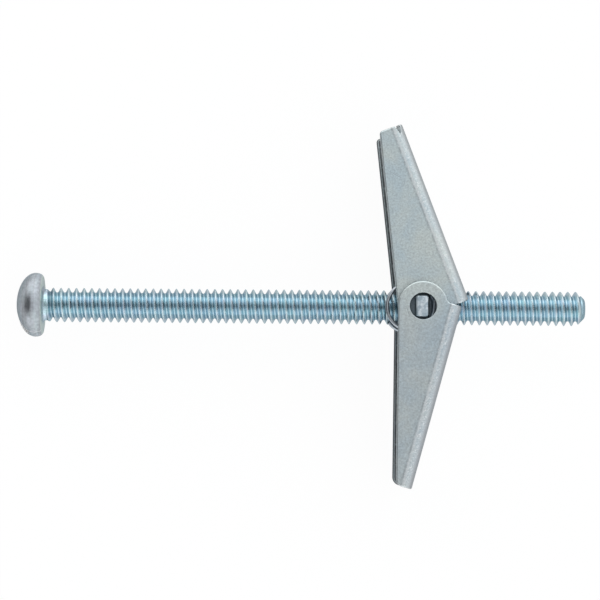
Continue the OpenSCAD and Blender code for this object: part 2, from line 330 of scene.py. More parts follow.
def trunnion_nut():
    """Rings at rising z: lug, block, lug, each with edges rounded by a quarter circle, and then the bore.

    A ring is a rounded rectangle at z - drop, made smaller by its inset. Both follow the quarter circle:
    inset = r (1 - sin a) and drop = r (1 - cos a), with a negative r where the lug's foot widens.
    """
    lug, block = (LUG_L, LUG_H, LUG_CORNER), (NUT_L, NUT_H, NUT_CORNER)
    q = np.linspace(0, np.pi / 2, 5)
    levels = [(LUG_END, lug, LUG_H / 2 - SLIVER, 0)]
    for z, size, r, angles in ((LUG_END, lug, LUG_EDGE, q), (NUT_HALF, lug, -LUG_FOOT, q[::-1]),
                               (NUT_HALF, block, BLOCK_EDGE, q)):
        levels += [(z, size, r * (1 - math.sin(a)), r * (1 - math.cos(a))) for a in angles]
    rings = []
    for sign in (1, -1):
        for z, (l, h, r), inset, drop in levels[::sign]:
            ring = rounded_rectangle(l, h, r, min(inset, l / 2 - SLIVER))
            if inset > l / 2:
                ring = ring * 0  # the first ring and the last close the lugs' ends
            height = z - drop
            lean = LUG_LEAN * max(height - NUT_HALF, 0) / (LUG_END - NUT_HALF)
            ring = ring + [PIVOT - sign * lean, 0]
            rings.append(np.column_stack([ring, np.full(len(ring), sign * height)]))
    nut = new_piece("nut", np.concatenate(rings), grid_faces(len(rings), len(rings[0])))
    join_up(nut, tolerance=1e-6)
    beyond = 0.5  # how far the bore's cutter sticks out of the block
    far, near, wide = NUT_L / 2 + beyond, NUT_L / 2 - BORE_SINK, BORE_R + beyond + BORE_SINK
    bore = revolve("bore", [[PIVOT - far, 0], [PIVOT - far, wide], [PIVOT - near, BORE_R],
                            [PIVOT + near, BORE_R], [PIVOT + far, wide], [PIVOT + far, 0]])
    cut(nut, bore)
    smooth(nut, sharp_degrees=30)
    return nut


# ---------------------------------------------------------------- wings
def at_web(p, s):
    """The point at distance p from the hinge axis towards the web, and s along the web towards the tip."""
    across = np.array([math.cos(TAPER), math.sin(TAPER)])
    along = np.array([-math.sin(TAPER), math.cos(TAPER)])
    return p * across + s * along


def evenly(line, apart):
    """The closed line with points added on its long straights, no further apart than given."""
    nexts = np.roll(line, -1, axis=0)
    counts = np.maximum(np.ceil(np.linalg.norm(nexts - line, axis=1) / apart).astype(int), 1)
    first = np.repeat(np.arange(len(line)), counts)
    share = (np.arange(len(first)) - np.repeat(np.cumsum(counts) - counts, counts)) / counts[first]
    return line[first] + (nexts[first] - line[first]) * share[:, None]


def inward(line):
    """Normals to the left of a closed line, longer at a corner, so that an offset keeps its distance."""
    ahead = np.roll(line, -1, axis=0) - line
    ahead /= np.linalg.norm(ahead, axis=1)[:, None]
    left = np.stack([-ahead[:, 1], ahead[:, 0]], -1)
    before = np.roll(left, 1, axis=0)
    least = 0.5  # keeps the normal short at a very sharp corner
    return (left + before) / np.maximum(1 + np.sum(left * before, axis=1), least)[:, None]


def inside(points, lines):
    """Which points lie inside closed lines: a ray from such a point crosses them an odd number of times."""
    a = np.concatenate(lines)
    b = np.concatenate([np.roll(line, -1, axis=0) for line in lines])
    x, y = points[:, None, 0], points[:, None, 1]
    level = (a[:, 1] > y) != (b[:, 1] > y)
    rise = np.where(a[:, 1] == b[:, 1], 1, b[:, 1] - a[:, 1])
    beyond = x < a[:, 0] + (b[:, 0] - a[:, 0]) * (y - a[:, 1]) / rise
    return np.sum(level & beyond, axis=1) % 2 == 1


def fill(points, counts):
    """Triangles over flat points, the first of which make closed lines with the given counts of points.

    They keep to the lines and to the inside of them, and leave out those that lie flat along an edge.
    """
    ends = np.cumsum([0, *counts])
    rounds = [np.arange(first, end) for first, end in zip(ends[:-1], ends[1:])]
    edges = np.concatenate([np.stack([numbers, np.roll(numbers, -1)], -1) for numbers in rounds])
    found = delaunay_2d_cdt(points.tolist(), edges.tolist(), [], 0, 1e-6, False)
    if len(found[0]) != len(points):
        raise ValueError("the lines of a flat pattern cross")
    triangles = np.array(found[2])
    a, b, c = np.moveaxis(points[triangles], 1, 0)
    large = np.abs(np.cross(b - a, c - a)) > SMALL_AREA
    return triangles[inside((a + b + c) / 3, [points[numbers] for numbers in rounds]) & large]


def flange_line(reach, tip_r):
    """Outline of a flange as (p, s), from the tip round the bearing edge and the ear to the web's end."""
    fillet_p = math.sqrt((EAR_R + EAR_FILLET) ** 2 - (WEB_TAIL + EAR_FILLET) ** 2)
    fillet = at_web(fillet_p, -WEB_TAIL - EAR_FILLET)
    turn = math.atan2(fillet[1], fillet[0])
    s = WING_L - tip_r
    tip = np.array([tip_r - EAR_R, (s + (tip_r - EAR_R) * math.sin(TAPER)) / math.cos(TAPER)])
    line = np.concatenate([
        arc(tip, tip_r, np.pi / 2 + TAPER, np.pi, 12),
        arc((0, 0), EAR_R, np.pi, 2 * np.pi + turn, 60),
        arc(fillet, EAR_FILLET, np.pi + turn, np.pi / 2 + TAPER, 10),
    ])
    c, s = math.cos(TAPER), math.sin(TAPER)
    return np.stack([line[:, 0] * c + line[:, 1] * s, line[:, 1] * c - line[:, 0] * s], -1)


class Wing:
    """One folded sheet. In its flat pattern a goes across, from the middle of the web, and s along it.

    Reach is the web's distance from the hinge axis, tip_r the radius of the tip's corner, lean the turn
    towards the head, and a flipped wing is turned half round about the screw.
    """

    def __init__(self, reach, tip_r, lean, flip):
        self.reach, self.tip_r, self.lean, self.flip = reach, tip_r, lean, flip
        self.mid_r = FOLD_R - SHEET / 2
        self.arc_l = self.mid_r * np.pi / 2
        self.low, self.high = FOLD_R - OUTER_OUT, INNER_OUT - FOLD_R
        self.nick_a = self.high + self.mid_r * NICK_TURN

    def fold(self, a, s, h):
        """Folds the flat pattern: gives the points and the bend angle at each.

        The bend angle grows with a over each fold and is a quarter turn on the flanges. A point lies at
        (middle radius + h) from the fold's centre, and a flange runs on straight from the end of its fold.
        """
        bend = np.clip((a - self.high) / self.mid_r, 0, np.pi / 2)
        bend = bend - np.clip((self.low - a) / self.mid_r, 0, np.pi / 2)
        past = np.maximum(a - self.high - self.arc_l, 0) + np.maximum(self.low - self.arc_l - a, 0)
        p = self.reach - FOLD_R - past + (self.mid_r + h) * np.cos(bend)
        z = np.clip(a, self.low, self.high) + (self.mid_r + h) * np.sin(bend)
        return self.place(p, s, z), bend

    def place(self, p, s, z, vectors=False):
        """From (p, s, z) to the row frame: turned by the taper and the lean, and to its side of the screw."""
        turn = TAPER + self.lean
        x = p * math.cos(turn) - s * math.sin(turn)
        y = p * math.sin(turn) + s * math.cos(turn)
        sign = -1 if self.flip else 1
        return np.stack([x + (0 if vectors else PIVOT), sign * y, sign * z], -1)

    def lines(self):
        """The flat pattern's closed lines, material on the left: the outline and the two lug holes."""
        reach = self.reach - FOLD_R
        flange = flange_line(self.reach, self.tip_r)
        outer = np.stack([self.low - self.arc_l - (reach - flange[:, 0]), flange[:, 1]], -1)
        inner = np.stack([self.high + self.arc_l + (reach - flange[:, 0]), flange[:, 1]], -1)
        outline = np.concatenate([outer, self.notch(outer[-1], inner[-1]), inner[::-1], self.nick()])
        holes = [arc((middle, 0), HOLE_R, 0, -2 * np.pi, 72)[:-1]
                 for middle in (self.low - self.arc_l - reach, self.high + self.arc_l + reach)]
        return [evenly(outline, LINE_STEP), *holes]

    def notch(self, before, after):
        """The web's end clears the screw: a circle about the screw, seen aslant, with two rounded corners."""
        p = self.reach - SHEET / 2
        side = math.acos((p * math.sin(TAPER) - WEB_TAIL * math.cos(TAPER)) / NOTCH_R)
        q = np.linspace(-side, side, 33)
        along = (NOTCH_R * np.cos(q) - p * math.sin(TAPER)) / math.cos(TAPER)
        line = np.stack([NOTCH_R * np.sin(q), along], -1)
        return np.concatenate([rounded_corner(before, line[0], line[3], NOTCH_SOFT), line[3:-3],
                               rounded_corner(line[-4], line[-1], after, NOTCH_SOFT)])

    def nick(self):
        """A narrow notch in the tip, which gets narrower towards its flat foot."""
        mid, wide, foot = self.nick_a, NICK_W / 2, NICK_W / 8
        deep = WING_L - NICK_DEPTH
        return np.array([[mid + wide, WING_L], [mid + foot, deep + foot], [mid + foot / 2, deep],
                         [mid - foot / 2, deep], [mid - foot, deep + foot], [mid - wide, WING_L]])

    def rim(self, line, over, under):
        """Rings over the edge beside a line, which is rounded by a quarter circle on each face.

        With r the edge's radius on that face, a ring lies r (1 - sin t) inside the line and r (1 - cos t)
        below the face. Gives the points as (a, s, h), their directions, and how much painted shade each gets.
        """
        q = np.linspace(0, np.pi / 2, 6)
        half = SHEET / 2
        rows = [(over * (1 - np.sin(t)), half - over * (1 - np.cos(t)), np.sin(t), np.cos(t)) for t in q]
        rows += [(under * (1 - np.sin(t)), under * (1 - np.cos(t)) - half, np.sin(t), -np.cos(t))
                 for t in q[::-1]]
        rows += [(under + further, -half, 0, -1) for further in INNER_RINGS]
        inset, height, out, up = np.array(rows).T[:, :, None, None]
        left = inward(line)
        unit = left / np.linalg.norm(left, axis=1)[:, None]
        near = np.hypot(line[:, 0] - self.nick_a, np.maximum(WING_L - NICK_DEPTH - line[:, 1], 0))
        room = np.clip(near / NICK_NEAR, NICK_LEAST, 1)
        ring = line + inset * room[:, None] * left
        shape = (*ring.shape[:2], 1)
        points = np.concatenate([ring, np.broadcast_to(height, shape)], -1)
        normals = np.concatenate([-out * unit, np.broadcast_to(up, shape)], -1)
        return points.reshape(-1, 3), normals.reshape(-1, 3), np.repeat(RIM_PAINTED_SHADE, len(line))

    def lattice(self, known):
        """Points inside the pattern, closer together across the folds, and clear of the lines' own points."""
        far = self.reach - FOLD_R + EAR_R + 1  # a little past the ear's edge
        fold = np.linspace(0, self.arc_l, 9)
        flange = np.arange(FILL_START, far, FILL_STEP)
        web = np.linspace(self.low, self.high, 13)[1:-1]
        a = np.concatenate([self.low - self.arc_l - flange, self.low - fold, web,
                            self.high + fold, self.high + self.arc_l + flange])
        s = np.arange(-EAR_R, WING_L, FILL_STEP)
        points = np.stack(np.meshgrid(a, s), -1).reshape(-1, 2)
        gap = np.min(np.sum((points[:, None] - known[None, ::2]) ** 2, -1), axis=1)
        return points[gap > FILL_CLEAR**2]

    def pattern(self):
        """The flat pattern: rings over each line's rounded edge, and triangles over both faces inside."""
        flat, normal, deep, faces, rings, start = [], [], [], [], [], 0
        lines = self.lines()
        for line, (over, under) in zip(lines, CUT_EDGES):
            for kept, new in zip((flat, normal, deep), self.rim(line, over, under)):
                kept.append(new)
            faces.append(grid_faces(len(RIM_PAINTED_SHADE), len(line), start))
            rings.append(start + np.arange(len(flat[-1])).reshape(len(RIM_PAINTED_SHADE), -1))
            start += len(flat[-1])
        lattice = self.lattice(np.concatenate([f[:, :2] for f in flat]))
        lattice = lattice[inside(lattice, lines)]
        for row, h in ((0, SHEET / 2), (-1, -SHEET / 2)):
            flat.append(np.column_stack([lattice, np.full(len(lattice), h)]))
            normal.append(np.tile([0, 0, np.sign(h)], (len(lattice), 1)))
            # painted shade on the inner face
            deep.append(np.full(len(lattice), INNER_FACE_SHADE * (h < 0)))
            border = [r[row] for r in rings]
            numbers = np.concatenate([*border, start + np.arange(len(lattice))])
            triangles = numbers[fill(np.concatenate(flat)[numbers][:, :2], [len(b) for b in border])]
            faces.append(triangles[:, ::-1] if h > 0 else triangles)
            start += len(lattice)
        flat, normal, deep = np.concatenate(flat), np.concatenate(normal), np.concatenate(deep)
        used, faces = self.used_only(faces, len(flat))
        return flat[used], normal[used], deep[used], faces

    def build(self, name):
        """The pattern, folded. A direction (across, along, up) in the flat turns with the bend b:
        p = up cos b - across sin b, and z = up sin b + across cos b."""
        flat, normal, deep, faces = self.pattern()
        points, bend = self.fold(*flat.T)
        p = normal[:, 2] * np.cos(bend) - normal[:, 0] * np.sin(bend)
        z = normal[:, 2] * np.sin(bend) + normal[:, 0] * np.cos(bend)
        directions = self.place(p, normal[:, 1], z, vectors=True)
        piece = new_piece(name, points, faces)
        smooth(piece)
        piece.data.normals_split_custom_set_from_vertices(directions.tolist())
        past = np.maximum(self.low - flat[:, 0], flat[:, 0] - self.high) - self.arc_l
        # no painted shade near the tip, except on the flanges
        pale = (np.abs(bend) < FLANGE_BEND) & (flat[:, 1] > WING_L - UNSHADED_TIP)
        # share of the cut edge's rounding, which gets paler bare metal and painted highlight
        set_values(piece, "edge", np.where(deep > 0, 0, 1 - np.abs(normal[:, 2])))
        set_values(piece, "bend", np.abs(bend) / (np.pi / 2))
        set_values(piece, "past", np.clip(past, 0, 1))  # distance past a fold's end
        # painted shade inside the channel
        set_values(piece, "inner", np.where(pale, 0, deep))
        return piece

    @staticmethod
    def used_only(faces, count):
        """Drops the points that no face uses, and numbers the faces' points again."""
        used = np.zeros(count, bool)
        for f in faces:
            used[f] = True
        number = np.cumsum(used) - 1
        return used, [row for f in faces for row in number[f]]


# ---------------------------------------------------------------- spring
def rounded_corner(a, b, c, length=0.83, steps=8):
    """A corner at b as a curve with one control point: (1 - t)^2 p + 2 t (1 - t) b + t^2 q."""
    p = b + length * (a - b) / np.linalg.norm(a - b)
    q = b + length * (c - b) / np.linalg.norm(c - b)
    t = np.linspace(0, 1, steps + 1)[:, None]
    return (1 - t) ** 2 * p + 2 * t * (1 - t) * b + t**2 * q


def leg_points(lean, distance, sign, z):
    """Where a leg leaves the coil, meets the web and ends. It leaves along the coil's tangent, and its length
    up to the web follows from the web's distance."""
    start = np.array([COIL_R * math.cos(LEG_ANGLE) - COIL_OFF * math.cos(lean),
                      COIL_OFF * math.sin(lean) - COIL_R * math.sin(LEG_ANGLE)])
    length = (distance - start @ at_web(1, 0)) / math.sin(LEG_ANGLE + TAPER)
    knee = start + length * np.array([math.sin(LEG_ANGLE), math.cos(LEG_ANGLE)])
    line = np.stack([start, knee, knee + LEG_RUN * at_web(0, 1)])
    turn = np.array([[math.cos(lean), math.sin(lean)], [-math.sin(lean), math.cos(lean)]])
    line = line @ turn * [1, sign]
    return np.column_stack([line, np.full(3, z)])


def tube(lines):
    """Round wire along each line: rings of points, carried along without twisting, with closed ends."""
    angle = 2 * np.pi * np.arange(WIRE_SIDES)[None, :, None] / WIRE_SIDES
    points, faces, start = [], [], 0
    for line in lines:
        along = np.gradient(line, axis=0)
        along /= np.linalg.norm(along, axis=1)[:, None]
        side, across = np.array([0.02, 0.03, 1.0]), []  # a first direction that is never along the wire
        for t in along:
            side = side - (side @ t) * t
            side /= np.linalg.norm(side)
            across.append(side)
        across = np.array(across)
        other = np.cross(along, across)
        ring = line[:, None] + WIRE_R * (np.cos(angle) * across[:, None] + np.sin(angle) * other[:, None])
        ends = [np.repeat(line[i][None, None], WIRE_SIDES, axis=1) for i in (0, -1)]
        ring = np.concatenate([ends[0], ring, ends[1]])
        points.append(ring.reshape(-1, 3))
        faces.append(grid_faces(len(ring), WIRE_SIDES, start))
        start += len(points[-1])
    return np.concatenate(points) + [PIVOT, 0, 0], np.concatenate(faces)


def torsion_spring():
    """Three pieces of one wire: the coils, the legs on the lower wing, and the upper wing's legs and bight.

    A coil is a helix about the hinge's direction: (R cos t - offset, R sin t), rising evenly with t.
    """
    flip = np.array([1, 1, -1])
    low = leg_points(LOWER["lean"], LOW_LEG, -1, COIL_LOW)
    high = leg_points(UPPER["lean"], HIGH_LEG, 1, COIL_HIGH)
    start = LEG_ANGLE - LOWER["lean"]
    sweep = 2 * np.pi - start - LEG_ANGLE + UPPER["lean"]
    share = np.linspace(0, 1, COIL_STEPS + 1)[:, None]
    angle = start + sweep * share
    coil = np.concatenate([COIL_R * np.cos(angle) - COIL_OFF, COIL_R * np.sin(angle),
                           COIL_LOW + (COIL_HIGH - COIL_LOW) * share], -1)
    straight, corner = 9, 3  # points along a leg, and how many of them its rounded corner replaces
    low_leg = np.concatenate([low[2:], rounded_corner(low[2], low[1], low[0]),
                              np.linspace(low[1], low[0], straight)[corner:]])
    up = np.concatenate([np.linspace(high[0], high[1], straight)[:-corner],
                         rounded_corner(high[0], high[1], high[2])])
    half = np.concatenate([up, rounded_corner(high[1], high[2], high[2] * [1, 1, 0])])
    bight = np.concatenate([half, half[::-1] * flip])
    made = []
    for name, lines in (("spring_coils", [coil, coil * flip]),
                        ("spring_lower_legs", [low_leg, low_leg * flip]),
                        ("spring_upper_legs", [bight])):
        piece = new_piece(name, *tube(lines))
        join_up(piece)
        smooth(piece, sharp_degrees=50)
        made.append(piece)
    return made


# ---------------------------------------------------------------- node helpers
def add(tree, kind, links=None, **settings):
    """A node with its settings, and its inputs set to values or linked to other nodes' outputs."""
    made = tree.nodes.new(kind)
    for name, value in settings.items():
        setattr(made, name, value)
    for name, value in (links or {}).items():
        if isinstance(value, bpy.types.NodeSocket):
            tree.links.new(value, made.inputs[name])
        else:
            made.inputs[name].default_value = value
    return made


def ramp(tree, value, *stops):
    """A colour ramp through the given (position, colour) stops. A single number stands for a grey."""
    made = add(tree, "ShaderNodeValToRGB", {0: value})
    elements = made.color_ramp.elements
    for number, (position, colour) in enumerate(stops):
        element = elements[number] if number < 2 else elements.new(position)
        element.position = position
        element.color = (*colour, 1) if isinstance(colour, tuple) else (colour, colour, colour, 1)
    return made.outputs["Color"]


def mix(tree, share, first, second, blend="MIX"):
    """Two colours mixed by a share."""
    made = add(tree, "ShaderNodeMix", {0: share, 6: first, 7: second}, data_type="RGBA", blend_type=blend)
    return made.outputs[2]


def maths(tree, operation, first, second=0.0, clamp=False):
    """One sum on values."""
    return add(tree, "ShaderNodeMath", {0: first, 1: second}, operation=operation, use_clamp=clamp).outputs[0]


def times(tree, first, second):
    """The product of two values."""
    return maths(tree, "MULTIPLY", first, second)


def step(tree, value, start, end):
    """0 at the start and 1 at the end, in a straight line between them and held beyond them."""
    return add(tree, "ShaderNodeMapRange", {"Value": value, "From Min": start, "From Max": end}).outputs[0]


def noise(tree, vector, scale, detail=2.0, rough=0.5, warp=0.0, output="Fac"):
    """Noise with features about 1 / scale metres across."""
    links = {"Vector": vector, "Scale": scale, "Detail": detail, "Roughness": rough, "Distortion": warp}
    return add(tree, "ShaderNodeTexNoise", links).outputs[output]


def part(tree, vector, letter):
    """One part of a vector: X, Y or Z."""
    return add(tree, "ShaderNodeSeparateXYZ", {0: vector}).outputs[letter]


def stretched(tree, vector, factors):
    """A vector with each part multiplied by its own factor."""
    return add(tree, "ShaderNodeVectorMath", {0: vector, 1: factors}, operation="MULTIPLY").outputs[0]


def stored(tree, name):
    """A number that a mesh holds for each of its points."""
    return add(tree, "ShaderNodeAttribute", attribute_name=name).outputs["Fac"]


# ---------------------------------------------------------------- finishes
WHITE = (1.0, 1.0, 1.0, 1)
SPECK, SCRATCH = (0.93, 0.95, 0.97, 1), (0.3, 0.34, 0.38, 1)
# painted highlight for the thread's crests and painted shade for its valleys
CREST_HIGHLIGHT, VALLEY_SHADE = (0.76, 0.84, 0.87, 1), (0.35, 0.51, 0.59, 1)
# the head's band colour is a painted highlight
HEAD, HEAD_HIGHLIGHT_BAND, HEAD_RING = (0.54, 0.55, 0.575, 1), (0.60, 0.60, 0.62, 1), (0.35, 0.37, 0.4, 1)
HEAD_UNDER = (0.90, 0.97, 0.88, 1)
# the fold: painted shade, a band of painted highlight past its end, and a line of painted dark reflection
FOLD_SHADE, FOLD_HIGHLIGHT, DARK_REFLECTION_LINE = (0.545, 0.56, 0.57, 1), (0.90, 0.93, 0.94, 1), (0.3, 0.33, 0.35, 1)
FOLD_SPECK, LOWER_TINT = (0.95, 0.96, 0.96, 1), (0.895, 0.89, 0.91, 1)
# cut edges: paler bare metal and painted highlight; the channel: painted shade
BARE_EDGE_AND_HIGHLIGHT, CHANNEL_SHADE = (0.80, 0.84, 0.86, 1), (0.1, 0.1, 0.11, 1)
GRAIN_HEIGHT = 0.00004  # of the plate's relief


def zinc_group():
    """Zinc plate: cloudy patches of two tones, fine grain, bright specks and hair scratches."""
    group = bpy.data.node_groups.new("zinc plate", "ShaderNodeTree")
    for way, kind, names in (("INPUT", "Vector", ("Vector",)), ("INPUT", "Color", ("Pale", "Deep")),
                             ("INPUT", "Float", ("Smooth", "Rough", "Specks", "Scratches")),
                             ("OUTPUT", "Color", ("Color",)), ("OUTPUT", "Float", ("Roughness", "Height"))):
        for name in names:
            group.interface.new_socket(name, in_out=way, socket_type="NodeSocket" + kind)
    got = add(group, "NodeGroupInput").outputs
    at = got["Vector"]
    clouds = noise(group, at, 150, detail=4, rough=0.6, warp=0.4)
    grain = noise(group, at, 3800, detail=3, rough=0.65)
    tone = mix(group, ramp(group, clouds, (0.36, 0.0), (0.64, 1.0)), got["Pale"], got["Deep"])
    tone = mix(group, 1.0, tone, ramp(group, grain, (0.3, 0.80), (0.7, 1.13)), "MULTIPLY")
    dots = ramp(group, noise(group, at, 2300), (0.64, 0.0), (0.72, 1.0))
    tone = mix(group, times(group, dots, got["Specks"]), tone, SPECK)
    warped = mix(group, 0.0035, at, noise(group, at, 220, detail=1, output="Color"))
    hairs = add(group, "ShaderNodeTexVoronoi", {"Vector": warped, "Scale": 340.0}, feature="DISTANCE_TO_EDGE")
    hairs = ramp(group, hairs.outputs["Distance"], (0.003, 1.0), (0.012, 0.0))
    few = ramp(group, noise(group, at, 420, detail=1), (0.62, 0.0), (0.67, 1.0))
    scored = maths(group, "MULTIPLY", times(group, hairs, few), got["Scratches"], clamp=True)
    tone = mix(group, scored, tone, SCRATCH)
    middle = times(group, maths(group, "ADD", clouds, grain), 0.5)
    spread = times(group, maths(group, "SUBTRACT", got["Rough"], got["Smooth"]), middle)
    rough = maths(group, "ADD", got["Smooth"], spread)
    height = maths(group, "SUBTRACT", times(group, grain, 0.6), scored)
    add(group, "NodeGroupOutput", {"Color": tone, "Roughness": rough, "Height": height})
    return group


def metal(name, pale, deep, rough, specks, scratches, bump, rim, touch=None):
    """Plated steel from the zinc group, with an own last touch on its colour and roughness.

    Pale and deep are its two tones, rough its least and most roughness, and rim its tint at a glancing view.
    """
    made = bpy.data.materials.new(name)
    made.use_nodes = True
    tree = made.node_tree
    shader = tree.nodes["Principled BSDF"]
    shader.inputs["Metallic"].default_value = 1.0
    shader.inputs["Specular Tint"].default_value = (*rim, 1)
    place = add(tree, "ShaderNodeTexCoord").outputs["Object"]
    plate = add(tree, "ShaderNodeGroup", {
        "Vector": place, "Pale": (*pale, 1), "Deep": (*deep, 1), "Smooth": rough[0], "Rough": rough[1],
        "Specks": specks, "Scratches": scratches}, node_tree=zinc).outputs
    colour, dull = plate["Color"], plate["Roughness"]
    if touch:
        colour, dull = touch(tree, place, colour, dull)
    links = {"Height": plate["Height"], "Strength": bump, "Distance": GRAIN_HEIGHT}
    relief = add(tree, "ShaderNodeBump", links).outputs["Normal"]
    for key, value in (("Base Color", colour), ("Roughness", dull), ("Normal", relief)):
        tree.links.new(value, shader.inputs[key])
    return made


def screw_touch(tree, place, colour, rough):
    """Painted highlight on the crests and painted shade in the valleys, which are a deeper blue, with tints
    between green and violet. Fine rings go round the neck, where there is no thread."""
    valley = stored(tree, "valley")
    green, violet = (0.90, 1.03, 0.99), (1.0, 0.97, 1.05)
    tint = ramp(tree, noise(tree, place, 750, rough=0.6), (0.35, green), (0.65, violet))
    colour = mix(tree, 1.0, colour, tint, "MULTIPLY")
    along = part(tree, place, "X")
    threaded = step(tree, along, 0.0010, 0.0018)  # in metres along the screw
    # painted highlight on the crests
    pale = times(tree, threaded, ramp(tree, valley, (0.0, 0.55), (0.5, 0.5), (0.75, 0.0)))
    colour = mix(tree, pale, colour, CREST_HIGHLIGHT)
    # painted shade in the valleys
    colour = mix(tree, ramp(tree, valley, (0.55, 0.0), (0.9, 0.8)), colour, VALLEY_SHADE)
    squashed = stretched(tree, place, (1, 0.05, 0.05))
    rings = ramp(tree, noise(tree, squashed, 3200, rough=0.6), (0.4, 0.55), (0.6, 1.05))
    colour = mix(tree, maths(tree, "SUBTRACT", 1.0, threaded), colour, rings, "MULTIPLY")
    return head_touch(tree, place, along, colour, rough)


def head_touch(tree, place, along, colour, rough):
    """The head is greyer, duller and more mottled than the shank. Its dome has a band of painted highlight
    and one fine dark ring, the driver slot's walls carry a painted glint, and the outer part of the bearing
    face is a pale green."""
    head = step(tree, along, 0.0002, -0.0001)
    level = step(tree, along, -0.0022, 0)  # 0 on the dome, 1 at the bearing face
    # painted highlight: a paler band round the dome near its rim
    grey = mix(tree, ramp(tree, level, (0.36, 0.0), (0.5, 0.4), (0.62, 0.4), (0.8, 0.0)), HEAD, HEAD_HIGHLIGHT_BAND)
    grey = mix(tree, ramp(tree, level, (0.29, 0.0), (0.32, 0.4), (0.35, 0.0)), grey, HEAD_RING)
    mottle = ramp(tree, noise(tree, place, 2600, detail=3, rough=0.7), (0.38, 0.82), (0.62, 1.14))
    grey = mix(tree, 1.0, grey, mottle, "MULTIPLY")
    colour = mix(tree, times(tree, head, 0.75), colour, grey)
    square = {0: place, 1: (0, math.sin(SLOT_TURN), math.cos(SLOT_TURN))}  # the direction across the slot
    across = add(tree, "ShaderNodeVectorMath", square, operation="DOT_PRODUCT").outputs["Value"]
    off = maths(tree, "SUBTRACT", maths(tree, "ABSOLUTE", across), SLOT_W / 2 * MM)
    # painted glint on the driver slot's walls
    slot_glint = step(tree, maths(tree, "ABSOLUTE", off), 0.00005, 0.00002)
    colour = mix(tree, times(tree, head, slot_glint), colour, WHITE)
    away = add(tree, "ShaderNodeVectorMath", {0: stretched(tree, place, (0, 1, 1))}, operation="LENGTH")
    outside = step(tree, away.outputs["Value"], 0.0025, 0.0027)
    under = times(tree, times(tree, head, outside), ramp(tree, level, (0.92, 0.0), (0.99, 0.85)))
    colour = mix(tree, under, colour, HEAD_UNDER)
    dull = times(tree, head, ramp(tree, level, (0.3, 0.14), (0.45, 0.34)))
    return colour, maths(tree, "ADD", rough, dull)


def sheet_touch(tree, place, colour, rough):
    """A fold's outer side is greyer, a painted shade that dims its reflection, and speckled towards its end.
    Just past its end come a band of painted highlight and a dark, patchy line of painted reflection. Cut
    edges are brighter and smoother than the faces, partly as paler bare metal and partly as painted
    highlight, and the lower wing's plate is a little darker. The channel's inside has painted shade, dark
    next to its edge, and less so beyond."""
    edge = stored(tree, "edge")
    bend = stored(tree, "bend")
    past = stored(tree, "past")
    # painted shade inside the channel, dark next to its edge
    inner = stored(tree, "inner")
    # painted shade that dims the fold's reflection
    colour = mix(tree, ramp(tree, bend, (0.05, 0.6), (0.5, 0.65), (0.93, 0.0)), colour, FOLD_SHADE)
    lower = step(tree, part(tree, place, "Y"), 0.003, -0.003)
    colour = mix(tree, lower, colour, LOWER_TINT, "MULTIPLY")
    ended = ramp(tree, bend, (0.9, 0.0), (1.0, 1.0))
    # painted highlight band just past the fold's end
    fold_highlight = times(tree, ended, ramp(tree, past, (0.0, 0.5), (0.22, 0.35), (0.42, 0.0)))
    colour = mix(tree, fold_highlight, colour, FOLD_HIGHLIGHT)
    patchy = ramp(tree, noise(tree, place, 1300, rough=0.6), (0.4, 0.3), (0.58, 1.0))
    # painted reflection of a dark line just past the fold's end
    dark_reflection = times(tree, ended, ramp(tree, past, (0.16, 0.0), (0.28, 0.6), (0.38, 0.5), (0.55, 0.0)))
    colour = mix(tree, times(tree, dark_reflection, patchy), colour, DARK_REFLECTION_LINE)
    speckle = ramp(tree, noise(tree, place, 4600, rough=0.6), (0.54, 0.0), (0.64, 1.0))
    there = times(tree, ramp(tree, bend, (0.5, 0.0), (0.85, 0.7)), ramp(tree, past, (0.1, 1.0), (0.45, 0.0)))
    colour = mix(tree, times(tree, speckle, there), colour, FOLD_SPECK)
    # cut edges: paler bare metal, and painted highlight
    colour = mix(tree, ramp(tree, edge, (0.02, 0.0), (0.6, 0.25)), colour, BARE_EDGE_AND_HIGHLIGHT)
    # painted shade inside the channel
    colour = mix(tree, times(tree, inner, 0.9), colour, CHANNEL_SHADE)
    return colour, maths(tree, "SUBTRACT", rough, times(tree, edge, 0.24))


def nut_touch(tree, place, colour, rough):
    """The block keeps the plate's dull colour, and the lugs' ends are rubbed bright and mottled."""
    out = maths(tree, "ABSOLUTE", part(tree, place, "Z"))
    end = step(tree, out, 0.0049, 0.0052)  # in metres along the hinge axis
    mottle = noise(tree, place, 1500, detail=3, rough=0.6)
    worn = ramp(tree, mottle, (0.42, (0.46, 0.55, 0.61)), (0.62, (0.80, 0.86, 0.90)))
    return mix(tree, end, colour, worn), maths(tree, "ADD", rough, times(tree, end, 0.12))


# ---------------------------------------------------------------- floor and light
FLOOR_HALF = 6000.0  # in millimetres
FLANGE_TOUCH = 5.6  # from the hinge axis towards the head: where the upper wing's flange touches the floor
FLOOR_GLOW, GLOW_SHARE = 1.02, 0.93  # for the camera, and the share of glow in what the floor gives
FLOOR_GREY, BACKDROP_GREY, TENT_GLOW = 0.9, 0.87, 1.15
SPOT_Z, SPOT_HALF_Z, SPOT_HALF_Y, SPOT_X = 0.48, 0.55, 0.6, -0.2  # the tent's dark patch, towards the head
LAMP_AT, LAMP_TILT, LAMP_SIZE, LAMP_POWER = (0.03, 0.42, 0.22), math.radians(-62), (0.7, 0.3), 0.25


